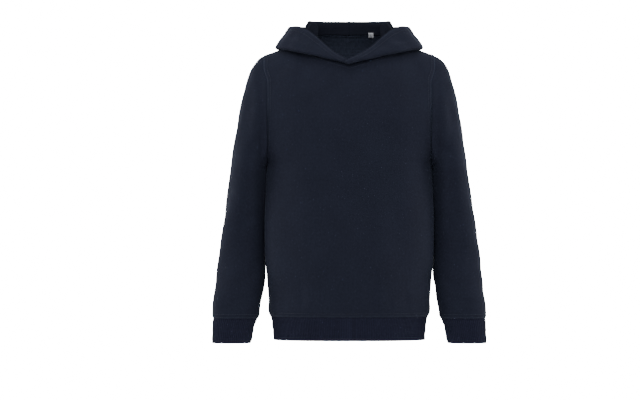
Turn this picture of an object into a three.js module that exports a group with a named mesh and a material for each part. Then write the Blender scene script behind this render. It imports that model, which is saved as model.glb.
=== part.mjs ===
// A toddler's pullover hoodie, size 98/104, filled out as if worn, with the hood down.
// Millimetres, +Z up. The front faces -Y and the wearer's left side is +X.
// Heights are measured from the hem, and the whole garment is then lowered to its hold point.

import * as THREE from 'three';

// Driving dimensions of the garment
const holdHeight = 443; // the high point of the shoulder beside the neck, above the hem
const seamGap = 0.3; // space left between two pieces where they are sewn
const fleeceThickness = 2.0;
const hoodThickness = 2.2;
const ribThickness = 2.6;

const hemRibHeight = 35;
const armpitHeight = 266;
const shoulderTipHeight = 424.5;
const shoulderTipHalf = 128; // from the centre to the armhole seam, on top
const shoulderSlope = 0.38; // drop of the shoulder seam for each mm outwards
const chestHeight = 330; // above this the body rounds over towards the shoulder seam
const armholeReach = 33; // how much wider the uncut panel grows above the armpit
const armholeRun = 55; // over about this height
const armholeHalf = 122; // from the centre to the armhole seam, beside the chest
const armholePitSpread = 1.5; // a little more than that just above the armpit
const armholePitTop = 300;
const shoulderTurnFrom = 383; // between these heights the seam runs out to the shoulder tip
const shoulderTurnTo = 406;

const neckHalf = 78;
const neckCrown = 28; // rise of the uncut body above the high points of the shoulders
const neckCrownFront = 1.6; // in front it comes down to them level
const neckCrownBack = 3.5; // and behind it stays flat for longer
const neckFrontHeight = 410;
const neckBackReach = 34; // how far the neckline lies behind the shoulder seam
const neckBackRound = 0.8; // below 1 the back neckline is flatter behind and turns sooner

const cuffTopHeight = 32;
const cuffBottomHeight = -5;
const sleeveTopRingHeight = 254; // the first whole ring of the sleeve, below the armpit

// How many steps each surface takes
const neckSteps = 6; // from the centre to the shoulder seam, along the neckline
const shoulderSteps = 5; // from the neck to the armhole
const armholeSteps = 9; // from the armpit to the shoulder tip
const sleeveCapSteps = 7;
const hoodColumnsPerStep = 2; // hood columns for each step along the neckline
const hoodStepsPerKnot = 3;

const bodyClearance = 2.2; // the hanging hood stays this far off the back
const clearancePerRow = 0.9; // and comes to it by this much a row, from its seam
const hoodSeamLift = 0.45; // the hood starts this far above the panels' neckline
const hoodSeamInset = 0.5; // and this far towards the neck
const hoodLap = { across: 6, forwards: 4.5, toAngle: 30 }; // left edge over right, in front
const foldDropShare = 0.3; // how far the fold's roll drops, as a share of the stand below it
const foldDropMost = 1.4; // and at most, as a share of the roll

// Sections of the body: half its width, how far it reaches forwards and backwards, and
// how boxy it is, 2 for an ellipse and more for squarer corners
const bodySections = [
  { height: 35, half: 118.5, front: 76, back: 73, boxy: 2.5 },
  { height: 44, half: 121.6, front: 81, back: 77, boxy: 2.5 },
  { height: 58, half: 121.2, front: 82, back: 77, boxy: 2.5 },
  { height: 88, half: 123.3, front: 83, back: 78, boxy: 2.5 },
  { height: 118, half: 126, front: 84, back: 79, boxy: 2.5 },
  { height: 165, half: 127, front: 84, back: 80, boxy: 2.5 },
  { height: 220, half: 126, front: 83, back: 81, boxy: 2.8 },
  { height: 266, half: 123.5, front: 82, back: 81, boxy: 3.2 },
  { height: 330, half: 123.5, front: 80, back: 80, boxy: 2.7 },
  { height: 400, half: 123.5, front: 72, back: 79, boxy: 2.5 },
  { height: 480, half: 123.5, front: 62, back: 76, boxy: 2.5 },
];

// Sections of the knitted hem band, as boxy all round as the body above it
const hemBoxy = 2.5;
const hemSpacing = 0.8; // below 1 its columns lie closer at the middle of front and back
const hemSections = [
  { height: 0, half: 114, front: 71, back: 68 },
  { height: 14, half: 115, front: 72, back: 69 },
  { height: 27, half: 116.3, front: 73.5, back: 70.5 },
  { height: 35, half: 118.3, front: 75.8, back: 72.8 },
];

// Sections of the sleeve, as the distances of its inner and outer sides from the centre.
// The rings of sleeve and cuff are a little boxier than an ellipse.
const ringRoundness = 0.88;
const sleeveSections = [
  { height: 32, inner: 136.4, outer: 204.6, depth: 29.5, middle: -2 },
  { height: 38, inner: 134.4, outer: 205.3, depth: 31, middle: -2 },
  { height: 48, inner: 133, outer: 204.9, depth: 32, middle: -1 },
  { height: 66, inner: 130, outer: 203.1, depth: 32.5, middle: 3 },
  { height: 88, inner: 126.6, outer: 200.6, depth: 34.5, middle: 10 },
  { height: 102, inner: 125.2, outer: 199, depth: 36, middle: 14 },
  { height: 118, inner: 126, outer: 197.2, depth: 37.5, middle: 17 },
  { height: 150, inner: 126.4, outer: 193.2, depth: 41, middle: 20 },
  { height: 190, inner: 126.2, outer: 187.8, depth: 45, middle: 19 },
  { height: 225, inner: 126, outer: 182.4, depth: 49, middle: 15 },
  { height: 254, inner: 126, outer: 178.2, depth: 53, middle: 8 },
];

// Sections of the knitted cuff
const cuffSections = [
  { height: -5, inner: 146.6, outer: 206.4, depth: 26.4, middle: -2 },
  { height: 10, inner: 143.6, outer: 205.8, depth: 26.8, middle: -2 },
  { height: 24, inner: 140, outer: 205, depth: 27.5, middle: -2 },
  { height: 32, inner: 136.8, outer: 204.4, depth: 29, middle: -2 },
];

// How the sleeve's cap leaves the armhole and meets its first whole ring: along the way out,
// forwards and down where it leaves, and up from the ring. Values named Top are added at
// the shoulder tip and fade to nothing at the armpit.
const sleeveCap = {
  leaveOut: 1.5, leaveOutTop: 20.5, leaveOutFade: 0.8, leaveForwards: 6,
  leaveDown: 4, leaveDownTop: 2.5, leaveDownFront: 8,
  arriveUp: 5, arriveUpTop: 126, arriveUpFade: 1.5, arriveLean: 0.14, spacing: 1.25,
};

// Sections of one half of the hood, by the angle round the neck from the front.
// Each is the way of the cloth from the neckline over its fold, down into the pouch and
// up to the rim: how far out from the neckline, and how high above the hem.
const hoodSections = [
  { angle: 0, roll: 0.8, foldOut: 1.6, fold: 410.2, innerOut: 3.1, inner: 410.6,
    bottomOut: 3.9, bottom: 411.3, outerOut: 4.2, outer: 412.8, rimOut: 2.5, rim: 416 },
  { angle: 15, roll: 1.2, foldOut: 2.4, fold: 416, innerOut: 5.2, inner: 415.8,
    bottomOut: 7.4, bottom: 416.2, outerOut: 8.8, outer: 418.6, rimOut: 0.5, rim: 426.5 },
  { angle: 34, roll: 1.8, foldOut: 3.4, fold: 423.6, innerOut: 8, inner: 422.6,
    bottomOut: 10.8, bottom: 423, outerOut: 12.8, outer: 426.6, rimOut: -6, rim: 443.5 },
  { angle: 48, roll: 3, foldOut: -9, fold: 441, innerOut: 2, inner: 432,
    bottomOut: 13, bottom: 426.4, outerOut: 18, outer: 430.8, rimOut: -7, rim: 454.8 },
  { angle: 62, roll: 3.6, foldOut: -19, fold: 459.5, innerOut: -3, inner: 444,
    bottomOut: 15.5, bottom: 430, outerOut: 23, outer: 434, rimOut: -6.5, rim: 462.5 },
  { angle: 80, roll: 3.8, foldOut: -24.5, fold: 471, innerOut: -5, inner: 449,
    bottomOut: 21, bottom: 433, outerOut: 30, outer: 436, rimOut: 0, rim: 467.8 },
  { angle: 100, roll: 4, foldOut: -20, fold: 475, innerOut: -3, inner: 450,
    bottomOut: 25.5, bottom: 433.5, outerOut: 34.5, outer: 436.5, rimOut: 13, rim: 468 },
  { angle: 120, roll: 4.3, foldOut: -9, fold: 475.8, innerOut: 9, inner: 448,
    bottomOut: 31, bottom: 430, outerOut: 41, outer: 436, rimOut: 24, rim: 468.3 },
  { angle: 130, roll: 4.5, foldOut: -2, fold: 475.8, innerOut: 21, inner: 441,
    bottomOut: 50, bottom: 403, outerOut: 58, outer: 424, rimOut: 32, rim: 468.3 },
  { angle: 140, roll: 4.5, foldOut: 4, fold: 475.8, innerOut: 31, inner: 431,
    bottomOut: 64, bottom: 368, outerOut: 71, outer: 406, rimOut: 39, rim: 467 },
  { angle: 160, roll: 4.5, foldOut: 8, fold: 475.8, innerOut: 42, inner: 398,
    bottomOut: 60, bottom: 310, outerOut: 70, outer: 366, rimOut: 48, rim: 462 },
  { angle: 180, roll: 4.5, foldOut: 10, fold: 475.8, innerOut: 43, inner: 390,
    bottomOut: 58, bottom: 292, outerOut: 69, outer: 356, rimOut: 49, rim: 459 },
];

// The woven label sewn inside the neck, beside the centre: most of it stands above the seam
const label = { left: 29.4, right: 37.4, height: 6.4, above: 5, thickness: 0.6, clear: 1.3 };

// Reads a column of a table at any place between its rows, with a smooth cubic. The rows
// go up by the column named in by.
function readTable(table, by, column, place) {
  let row = 0;
  while (row < table.length - 2 && place > table[row + 1][by]) {
    row += 1;
  }
  const before = table[Math.max(row - 1, 0)];
  const from = table[row];
  const to = table[row + 1];
  const after = table[Math.min(row + 2, table.length - 1)];
  const span = to[by] - from[by];
  const t = THREE.MathUtils.clamp((place - from[by]) / span, 0, 1);
  const slopeFrom = ((to[column] - before[column]) / (to[by] - before[by])) * span;
  const slopeTo = ((after[column] - from[column]) / (after[by] - from[by])) * span;
  const rise = to[column] - from[column];
  const bend = t * t * (3 - 2 * t);
  const start = t * (1 - t) * (1 - t);
  const end = t * t * (t - 1);
  return from[column] + rise * bend + slopeFrom * start + slopeTo * end;
}

// Height of the shoulder seam at a distance from the centre. Between the high points beside
// the neck it runs on as the crown that the necklines are cut from.
function shoulderHeight(side, x) {
  const out = Math.abs(x);
  const seam = shoulderTipHeight + (shoulderTipHalf - Math.max(out, neckHalf)) * shoulderSlope;
  const share = Math.min(out / neckHalf, 1);
  const crown = side < 0 ? (1 - share ** 2) ** neckCrownFront : 1 - share ** neckCrownBack;
  return seam + neckCrown * crown;
}

// How far the body's surface would lie from its middle plane if it didn't arch over to the
// shoulder seam. A section is a rounded box. Above the armpit the sections run on past the
// armhole, where the panel is cut.
function bodyReach(side, x, height) {
  const reach = readTable(bodySections, 'height', side < 0 ? 'front' : 'back', height);
  let half = readTable(bodySections, 'height', 'half', height);
  if (height > armpitHeight) {
    half += armholeReach * (1 - Math.exp(-(height - armpitHeight) / armholeRun));
  }
  const across = Math.min(Math.abs(x) / half, 1);
  return reach * Math.sqrt(1 - across ** readTable(bodySections, 'height', 'boxy', height));
}

// The same with the arch: above the chest it is a quarter of an ellipse
function bodyDepth(side, x, height) {
  const arch = Math.max(0, (height - chestHeight) / (shoulderHeight(side, x) - chestHeight));
  return bodyReach(side, x, height) * Math.sqrt(Math.max(0, 1 - arch ** 2));
}

// Height of the arch above a given depth, found by closing in on it
function bodyHeight(side, x, depth) {
  const rise = shoulderHeight(side, x) - chestHeight;
  let height = chestHeight + rise;
  for (let pass = 0; pass < 10; pass += 1) {
    height = chestHeight + rise * Math.sqrt(1 - (depth / bodyReach(side, x, height)) ** 2);
  }
  return height;
}

// A point of the body's outer surface; side is -1 in front and +1 behind
function bodyPoint(side, x, height) {
  return new THREE.Vector3(x, side * bodyDepth(side, x, height), height);
}

// Distance of the armhole seam from the centre, at a height
function armholeAt(height) {
  const tip = THREE.MathUtils.smoothstep(height, shoulderTurnFrom, shoulderTurnTo);
  const pit = 1 - THREE.MathUtils.smoothstep(height, armpitHeight, armholePitTop);
  return armholeHalf + (shoulderTipHalf - armholeHalf) * tip + armholePitSpread * pit;
}

// Height of the armhole seam, at a share of the way from the armpit to the shoulder tip
function armholeHeight(share) {
  const rise = (1 - Math.cos(Math.PI * share)) / 2;
  return armpitHeight + (shoulderTipHeight - armpitHeight) * rise;
}

// A point of the neckline at an angle from the centre front, 90 degrees at the shoulder
function necklinePoint(angle) {
  const radians = THREE.MathUtils.degToRad(angle);
  const x = neckHalf * Math.sin(radians);
  if (angle <= 90) {
    const rise = Math.sqrt(1 - Math.cos(radians));
    const shoulder = shoulderHeight(-1, neckHalf);
    return bodyPoint(-1, x, neckFrontHeight + (shoulder - neckFrontHeight) * rise);
  }
  const depth = neckBackReach * Math.abs(Math.cos(radians)) ** neckBackRound;
  return new THREE.Vector3(x, depth, bodyHeight(1, x, depth));
}

// The columns of a body panel, from the centre to its side, as shares of its half width
function panelColumns() {
  const columns = [];
  const neckShare = neckHalf / shoulderTipHalf;
  for (let step = 0; step <= neckSteps; step += 1) {
    const angle = (step / neckSteps) * 90;
    columns.push({ share: neckShare * Math.sin(THREE.MathUtils.degToRad(angle)), angle });
  }
  for (let step = 1; step <= shoulderSteps; step += 1) {
    const spread = Math.sin((step / shoulderSteps) * (Math.PI / 2));
    columns.push({ share: neckShare + (1 - neckShare) * spread, angle: null });
  }
  return columns;
}

// Height of the top of a panel's column: the neckline, or past it the shoulder seam
function columnTop(side, column) {
  if (column.angle === null) {
    return shoulderHeight(side, column.share * shoulderTipHalf);
  }
  return necklinePoint(side < 0 ? column.angle : 180 - column.angle).z;
}

// The rows of a body panel, from the hem band to the armpit and from there to the top
const sideSeamHeights = [hemRibHeight + seamGap / 2, 40, 46, 58, 80, 112, 150, 190, 228];

// One body panel: its outer points as columns from one side to the other
function bodyPanelPoints(side) {
  const half = panelColumns();
  const mirrored = half.slice(1).reverse().map((column) => ({ ...column, share: -column.share }));
  return [...mirrored, ...half].map((column) => {
    const points = sideSeamHeights.map((height) => {
      const x = column.share * readTable(bodySections, 'height', 'half', height);
      return bodyPoint(side, x, height);
    });
    const top = columnTop(side, { ...column, share: Math.abs(column.share) });
    for (let step = 0; step <= armholeSteps; step += 1) {
      const share = step / armholeSteps;
      const seamHeight = armholeHeight(share);
      const rise = (seamHeight - armpitHeight) / (shoulderTipHeight - armpitHeight);
      const height = armpitHeight + (top - armpitHeight) * rise;
      points.push(bodyPoint(side, column.share * armholeAt(seamHeight), height));
    }
    return points;
  });
}

// The direction straight out of a grid of points, at one of them
function gridNormal(points, column, row, around) {
  const columns = points.length;
  const rows = points[0].length;
  const next = around ? (column + 1) % columns : Math.min(column + 1, columns - 1);
  const last = around ? (column + columns - 1) % columns : Math.max(column - 1, 0);
  const across = new THREE.Vector3().subVectors(points[next][row], points[last][row]);
  const above = points[column][Math.min(row + 1, rows - 1)];
  const below = points[column][Math.max(row - 1, 0)];
  const up = new THREE.Vector3().subVectors(above, below);
  return across.cross(up).normalize();
}

// A wall of cloth: the outer points, and the same points moved in by its thickness,
// closed along every free edge. The outer side is to the left of a column's way up.
function clothWall(points, thickness, around, setNormal) {
  const columns = points.length;
  const rows = points[0].length;
  const positions = [];
  const inner = [];
  points.forEach((column, c) => {
    column.forEach((point, r) => {
      const normal = gridNormal(points, c, r, around);
      if (setNormal) {
        setNormal(normal, point, c, r);
      }
      positions.push(point.x, point.y, point.z);
      const moved = point.clone().addScaledVector(normal, -thickness);
      inner.push(moved.x, moved.y, moved.z);
    });
  });
  const count = columns * rows;
  const faces = [];
  const quad = (a, b, c, d) => faces.push(a, b, c, a, c, d);
  const steps = around ? columns : columns - 1;
  for (let c = 0; c < steps; c += 1) {
    const here = c * rows;
    const next = ((c + 1) % columns) * rows;
    for (let r = 0; r < rows - 1; r += 1) {
      quad(here + r, next + r, next + r + 1, here + r + 1);
      quad(count + here + r + 1, count + next + r + 1, count + next + r, count + here + r);
    }
    quad(next, here, count + here, count + next);
    quad(here + rows - 1, next + rows - 1, count + next + rows - 1, count + here + rows - 1);
  }
  if (!around) {
    const end = (columns - 1) * rows;
    for (let r = 0; r < rows - 1; r += 1) {
      quad(r, r + 1, count + r + 1, count + r);
      quad(end + r + 1, end + r, count + end + r, count + end + r + 1);
    }
  }
  const geometry = new THREE.BufferGeometry();
  geometry.setAttribute('position', new THREE.Float32BufferAttribute([...positions, ...inner], 3));
  geometry.setIndex(faces);
  return geometry;
}

// The same piece for the other side of the body
function mirrorGeometry(geometry) {
  const mirrored = geometry.clone();
  const positions = mirrored.getAttribute('position');
  for (let i = 0; i < positions.count; i += 1) {
    positions.setX(i, -positions.getX(i));
  }
  const index = mirrored.getIndex().array;
  for (let i = 0; i < index.length; i += 3) {
    const kept = index[i + 1];
    index[i + 1] = index[i + 2];
    index[i + 2] = kept;
  }
  return mirrored;
}

// Draws the last column or row of a grid back by half a seam's gap
function drawBack(point, towards) {
  const way = new THREE.Vector3().subVectors(towards, point);
  point.addScaledVector(way.normalize(), seamGap / 2);
}

// A front or back panel, cut to its neckline, shoulders, armholes and side seams
function bodyPanel(side) {
  const points = bodyPanelPoints(side);
  const lastColumn = points.length - 1;
  const lastRow = points[0].length - 1;
  const onShoulder = (c) => Math.abs(c - lastColumn / 2) >= neckSteps;
  points.forEach((column, c) => {
    column.forEach((point, r) => {
      const onSide = (c === 0 || c === lastColumn) && r <= sideSeamHeights.length;
      if (onSide || (r === lastRow && onShoulder(c))) {
        point.y = (side * seamGap) / 2;
      }
    });
    if (!onShoulder(c)) {
      drawBack(column[lastRow], column[lastRow - 1]);
    }
  });
  for (let r = sideSeamHeights.length + 1; r < lastRow; r += 1) {
    drawBack(points[0][r], points[1][r]);
    drawBack(points[lastColumn][r], points[lastColumn - 1][r]);
  }
  const ordered = side < 0 ? points : points.reverse();
  return clothWall(ordered, fleeceThickness, false, (normal, point, c, r) => {
    const onSide = (c === 0 || c === lastColumn) && r <= sideSeamHeights.length;
    if (onSide || (r === lastRow && onShoulder(c))) {
      normal.y = 0;
      normal.normalize();
    }
    if (r === 0) {
      normal.z = 0;
      normal.normalize();
    }
  });
}

// A point of a rounded ring at a turn, measured from its outer side towards the front
function ringPoint(sections, height, turn) {
  const inner = readTable(sections, 'height', 'inner', height);
  const outer = readTable(sections, 'height', 'outer', height);
  const depth = readTable(sections, 'height', 'depth', height);
  const middle = readTable(sections, 'height', 'middle', height);
  const across = Math.sign(Math.cos(turn)) * Math.abs(Math.cos(turn)) ** ringRoundness;
  const forwards = Math.sign(Math.sin(turn)) * Math.abs(Math.sin(turn)) ** ringRoundness;
  const x = (inner + outer) / 2 + ((outer - inner) / 2) * across;
  return new THREE.Vector3(x, middle - depth * forwards, height);
}

// A point of the armhole seam of the wearer's left side, at a turn from the shoulder tip
// over the front down to the armpit and up again behind
function armholePoint(turn) {
  const side = turn <= Math.PI ? -1 : 1;
  const share = 1 - (turn <= Math.PI ? turn : 2 * Math.PI - turn) / Math.PI;
  const height = armholeHeight(share);
  return bodyPoint(side, armholeAt(height), height);
}

// The sleeve leaves the armhole outwards and bends down to its first whole ring
function sleeveCapPoint(turn, share) {
  const start = armholePoint(turn);
  const end = ringPoint(sleeveSections, sleeveTopRingHeight, turn);
  const top = (1 + Math.cos(turn)) / 2;
  const front = Math.sin(turn);
  const leave = new THREE.Vector3(
    sleeveCap.leaveOut + sleeveCap.leaveOutTop * top ** sleeveCap.leaveOutFade,
    -sleeveCap.leaveForwards * front,
    -sleeveCap.leaveDown - sleeveCap.leaveDownTop * top - sleeveCap.leaveDownFront * Math.abs(front),
  );
  const arrive = sleeveCap.arriveUp + sleeveCap.arriveUpTop * top ** sleeveCap.arriveUpFade;
  const arriveWay = new THREE.Vector3(-sleeveCap.arriveLean * top, 0, 1);
  const curve = new THREE.CubicBezierCurve3(
    start,
    new THREE.Vector3().addVectors(start, leave),
    end.clone().addScaledVector(arriveWay, arrive),
    end,
  );
  return curve.getPoint(share);
}

const sleeveRingHeights = [232, 205, 175, 145, 115, 90, 70, 54, 44, 38, cuffTopHeight + seamGap / 2];

// The wearer's left sleeve, from the armhole to the cuff
function sleeve() {
  const turns = 2 * armholeSteps;
  const points = [];
  for (let c = 0; c < turns; c += 1) {
    const turn = (c / turns) * 2 * Math.PI;
    const column = [];
    for (const height of [...sleeveRingHeights].reverse()) {
      column.push(ringPoint(sleeveSections, height, turn));
    }
    for (let step = sleeveCapSteps; step >= 0; step -= 1) {
      column.push(sleeveCapPoint(turn, (step / sleeveCapSteps) ** sleeveCap.spacing));
    }
    drawBack(column[column.length - 1], column[column.length - 2]);
    points.push(column);
  }
  return clothWall(points.reverse(), fleeceThickness, true, (normal, point, c, r) => {
    if (r === 0) {
      normal.z = 0;
      normal.normalize();
    }
  });
}

// The wearer's left cuff: a knitted tube, narrower than the sleeve on its inner side
function cuff() {
  const turns = 20;
  const heights = [cuffBottomHeight, 4, 14, 24, cuffTopHeight - seamGap / 2];
  const points = [];
  for (let c = 0; c < turns; c += 1) {
    const turn = (c / turns) * 2 * Math.PI;
    points.push(heights.map((height) => ringPoint(cuffSections, height, turn)));
  }
  return clothWall(points.reverse(), ribThickness, true, (normal) => {
    normal.z = 0;
    normal.normalize();
  });
}

// The knitted band round the hem
function hemRib() {
  const turns = 44;
  const heights = [0, 9, 18, 27, hemRibHeight - seamGap / 2];
  const points = [];
  for (let c = 0; c < turns; c += 1) {
    const turn = (c / turns) * 2 * Math.PI;
    const across = Math.cos(turn);
    const side = Math.sin(turn) < 0 ? -1 : 1;
    points.push(heights.map((height) => {
      const half = readTable(hemSections, 'height', 'half', height);
      const reach = readTable(hemSections, 'height', side < 0 ? 'front' : 'back', height);
      const share = Math.sign(across) * Math.abs(across) ** hemSpacing;
      const depth = reach * Math.sqrt(1 - Math.abs(share) ** hemBoxy);
      return new THREE.Vector3(half * share, side * depth, height);
    }));
  }
  return clothWall(points, ribThickness, true, (normal) => {
    normal.z = 0;
    normal.normalize();
  });
}

// Keeps a point outside the body by a clearance, moving it away from the chest's middle
function keepOffBody(point, clearance) {
  const side = point.y > 0 ? 1 : -1;
  if (point.z <= chestHeight) {
    const surface = bodyDepth(side, point.x, point.z) + clearance;
    point.y = side * Math.max(Math.abs(point.y), surface);
    return;
  }
  const reach = bodyReach(side, point.x, point.z) + clearance;
  const rise = shoulderHeight(side, point.x) - chestHeight + clearance;
  const up = point.z - chestHeight;
  const share = Math.hypot(point.y / reach, up / rise);
  if (share < 1) {
    point.y /= share;
    point.z = chestHeight + up / share;
  }
}

// The neckline as the panels have it, straight between their columns
function sewnNeckline(angle) {
  const step = 90 / neckSteps;
  const from = Math.floor(angle / step) * step;
  return necklinePoint(from).lerp(necklinePoint(from + step), (angle - from) / step);
}

// One column of the hood: a smooth curve from the neckline over the fold and the pouch
function hoodColumn(angle) {
  const radians = THREE.MathUtils.degToRad(angle);
  const seam = sewnNeckline(angle);
  const outwards = new THREE.Vector3(Math.sin(radians), -Math.cos(radians), 0);
  const place = (out, height) => new THREE.Vector3(seam.x, seam.y, height).addScaledVector(outwards, out);
  const read = (column) => readTable(hoodSections, 'angle', column, angle);
  const roll = read('roll');
  const stand = read('fold') - seam.z;
  const drop = THREE.MathUtils.clamp(stand * foldDropShare, 0, roll * foldDropMost);
  const knots = [
    seam,
    place(read('foldOut') - roll, read('fold') - drop),
    place(read('foldOut'), read('fold')),
    place(read('foldOut') + roll, read('fold') - drop),
  ];
  for (const name of ['inner', 'bottom', 'outer', 'rim']) {
    knots.push(place(read(`${name}Out`), read(name)));
  }
  const curve = new THREE.CatmullRomCurve3(knots, false, 'centripetal');
  const points = curve.getPoints(hoodStepsPerKnot * (knots.length - 1));
  points[0].addScaledVector(outwards, -hoodSeamInset);
  points[0].z += hoodSeamLift;
  const overFold = 3 * hoodStepsPerKnot;
  points.forEach((point, r) => {
    if (point.y > 0 || r > overFold) {
      keepOffBody(point, Math.min(bodyClearance, clearancePerRow * r));
    }
  });
  return points;
}

// The wearer's left half of the hood, from the centre front to the seam at the back.
// With a lap its front edge leans forwards and over the centre.
function hoodHalf(lap) {
  const points = [];
  const steps = 2 * neckSteps * hoodColumnsPerStep;
  for (let step = 0; step <= steps; step += 1) {
    const angle = (step / steps) * 180;
    const column = hoodColumn(angle);
    const nearFront = Math.max(0, 1 - angle / hoodLap.toAngle);
    column.forEach((point, r) => {
      const share = r / (column.length - 1);
      point.y -= lap.forwards * nearFront * THREE.MathUtils.smoothstep(share, 0, 0.5);
      point.x -= lap.across * nearFront * THREE.MathUtils.smoothstep(share, 0.35, 1);
      if (step === 0 || step === steps) {
        point.x += seamGap / 2 - (step === steps ? point.x : 0);
      }
    });
    points.push(column);
  }
  return clothWall(points, hoodThickness, false, (normal, point, c) => {
    if (c === 0 || c === steps) {
      normal.x = 0;
      normal.normalize();
    }
  });
}

// The label, made from the inner face of the back panel and its run above the neckline
function sizeLabel() {
  const points = [0, 1, 2].map((c) => {
    const x = THREE.MathUtils.lerp(label.right, label.left, c / 2);
    const angle = 180 - THREE.MathUtils.radToDeg(Math.asin(x / neckHalf));
    const top = necklinePoint(angle).z + label.above;
    return [0, 1, 2].map((r) => {
      const height = top - label.height * (1 - r / 2);
      const near = 0.5;
      const along = bodyPoint(1, x + near, height).sub(bodyPoint(1, x - near, height));
      const up = bodyPoint(1, x, height + near).sub(bodyPoint(1, x, height - near));
      const inwards = along.cross(up).normalize();
      return bodyPoint(1, x, height).addScaledVector(inwards, fleeceThickness + label.clear + label.thickness);
    });
  });
  return clothWall(points.reverse(), label.thickness, false);
}

function material(color, roughness) {
  return new THREE.MeshStandardMaterial({ color, roughness, metalness: 0, side: THREE.DoubleSide });
}

const hoodie = new THREE.Group();
hoodie.position.z = -holdHeight;

function addPiece(name, geometry, color, roughness) {
  const mesh = new THREE.Mesh(geometry, material(color, roughness));
  mesh.name = name;
  geometry.computeVertexNormals();
  hoodie.add(mesh);
}

const fleeceColor = 0x1e2430;
const ribColor = 0x1c1f2c;
const labelColor = 0xe6e8ec;
const fleeceRoughness = 0.92;
const ribRoughness = 0.95;
const labelRoughness = 0.7;

addPiece('front', bodyPanel(-1), fleeceColor, fleeceRoughness);
addPiece('back', bodyPanel(1), fleeceColor, fleeceRoughness);
addPiece('sleeve_left', sleeve(), fleeceColor, fleeceRoughness);
addPiece('sleeve_right', mirrorGeometry(sleeve()), fleeceColor, fleeceRoughness);
addPiece('hem_rib', hemRib(), ribColor, ribRoughness);
addPiece('cuff_left', cuff(), ribColor, ribRoughness);
addPiece('cuff_right', mirrorGeometry(cuff()), ribColor, ribRoughness);
addPiece('hood_left', hoodHalf(hoodLap), fleeceColor, fleeceRoughness);
addPiece('hood_right', mirrorGeometry(hoodHalf({ across: 0, forwards: 0 })), fleeceColor, fleeceRoughness);
addPiece('size_label', sizeLabel(), labelColor, labelRoughness);

export default hoodie;
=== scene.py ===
# A plain navy toddler's hoodie, size 98/104, filled out as if worn, with the hood down.
# Shapes are worked out in millimetres above the hem and put into metres from the hold point.

import math
import numpy as np
import bpy
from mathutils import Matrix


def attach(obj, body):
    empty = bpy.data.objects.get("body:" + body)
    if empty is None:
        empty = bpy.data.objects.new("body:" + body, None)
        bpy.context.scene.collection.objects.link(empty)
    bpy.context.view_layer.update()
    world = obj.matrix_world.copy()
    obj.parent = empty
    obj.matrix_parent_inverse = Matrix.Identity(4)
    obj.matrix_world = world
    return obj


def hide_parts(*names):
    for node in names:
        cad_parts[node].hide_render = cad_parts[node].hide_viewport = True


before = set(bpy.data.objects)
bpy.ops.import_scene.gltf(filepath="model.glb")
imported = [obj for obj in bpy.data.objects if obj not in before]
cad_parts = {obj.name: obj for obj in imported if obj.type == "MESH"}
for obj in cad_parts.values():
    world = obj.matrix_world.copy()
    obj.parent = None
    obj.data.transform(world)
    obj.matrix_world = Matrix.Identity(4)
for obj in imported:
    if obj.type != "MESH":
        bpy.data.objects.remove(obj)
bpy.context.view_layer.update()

holdHeight = 443  # the hold point in the middle of the neck, above the hem
seamReach = 0.8  # how far each piece reaches into the one that it is sewn to
edgeTurns = 4  # steps of the round at a free edge
farAway = 999  # stands for a seam that isn't near

# How the garment is cut, in mm
cut = {
    "armpitHeight": 266,
    "shoulderTipHeight": 424.5,
    "shoulderTipHalf": 128,
    "shoulderSlope": 0.38,
    "chestHeight": 330,
    "armholeReach": 33,
    "armholeRun": 55,
    "armholeHalf": 122,
    "armholePitSpread": 1.5,
    "armholePitTop": 300,
    "shoulderTurn": (383, 406),
    "neckHalf": 78,
    "neckCrown": 28,
    "neckCrownFront": 1.6,
    "neckCrownBack": 3.5,
    "neckFrontHeight": 410,
    "neckBackReach": 34,
    "neckBackRound": 0.8,
    "hemRibHeight": 35,
    "cuffTopHeight": 32,
    "cuffBottomHeight": -5,
    "sleeveTopRingHeight": 254,
    "hemBoxy": 2.5,
    "hemSpacing": 0.8,
    "ringRound": 0.88,
}

# Sections of the body: half its width, its reach forwards and backwards, and how boxy it is
bodySections = {
    "height": (35, 44, 58, 88, 118, 165, 220, 266, 330, 400, 480),
    "half": (118.5, 121.6, 121.2, 123.3, 126, 127, 126, 123.5, 123.5, 123.5, 123.5),
    "front": (76, 81, 82, 83, 84, 84, 83, 82, 80, 72, 62),
    "back": (73, 77, 77, 78, 79, 80, 81, 81, 80, 79, 76),
    "boxy": (2.5, 2.5, 2.5, 2.5, 2.5, 2.5, 2.8, 3.2, 2.7, 2.5, 2.5),
}
hemSections = {
    "height": (0, 14, 27, 35),
    "half": (114, 115, 116.3, 118.3),
    "front": (71, 72, 73.5, 75.8),
    "back": (68, 69, 70.5, 72.8),
}
sleeveSections = {
    "height": (32, 38, 48, 66, 88, 102, 118, 150, 190, 225, 254),
    "inner": (136.4, 134.4, 133, 130, 126.6, 125.2, 126, 126.4, 126.2, 126, 126),
    "outer": (204.6, 205.3, 204.9, 203.1, 200.6, 199, 197.2, 193.2, 187.8, 182.4, 178.2),
    "depth": (29.5, 31, 32, 32.5, 34.5, 36, 37.5, 41, 45, 49, 53),
    "middle": (-2, -2, -1, 3, 10, 14, 17, 20, 19, 15, 8),
}
cuffSections = {
    "height": (-5, 10, 24, 32),
    "inner": (146.6, 143.6, 140, 136.8),
    "outer": (206.4, 205.8, 205, 204.4),
    "depth": (26.4, 26.8, 27.5, 29),
    "middle": (-2, -2, -2, -2),
}
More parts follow.
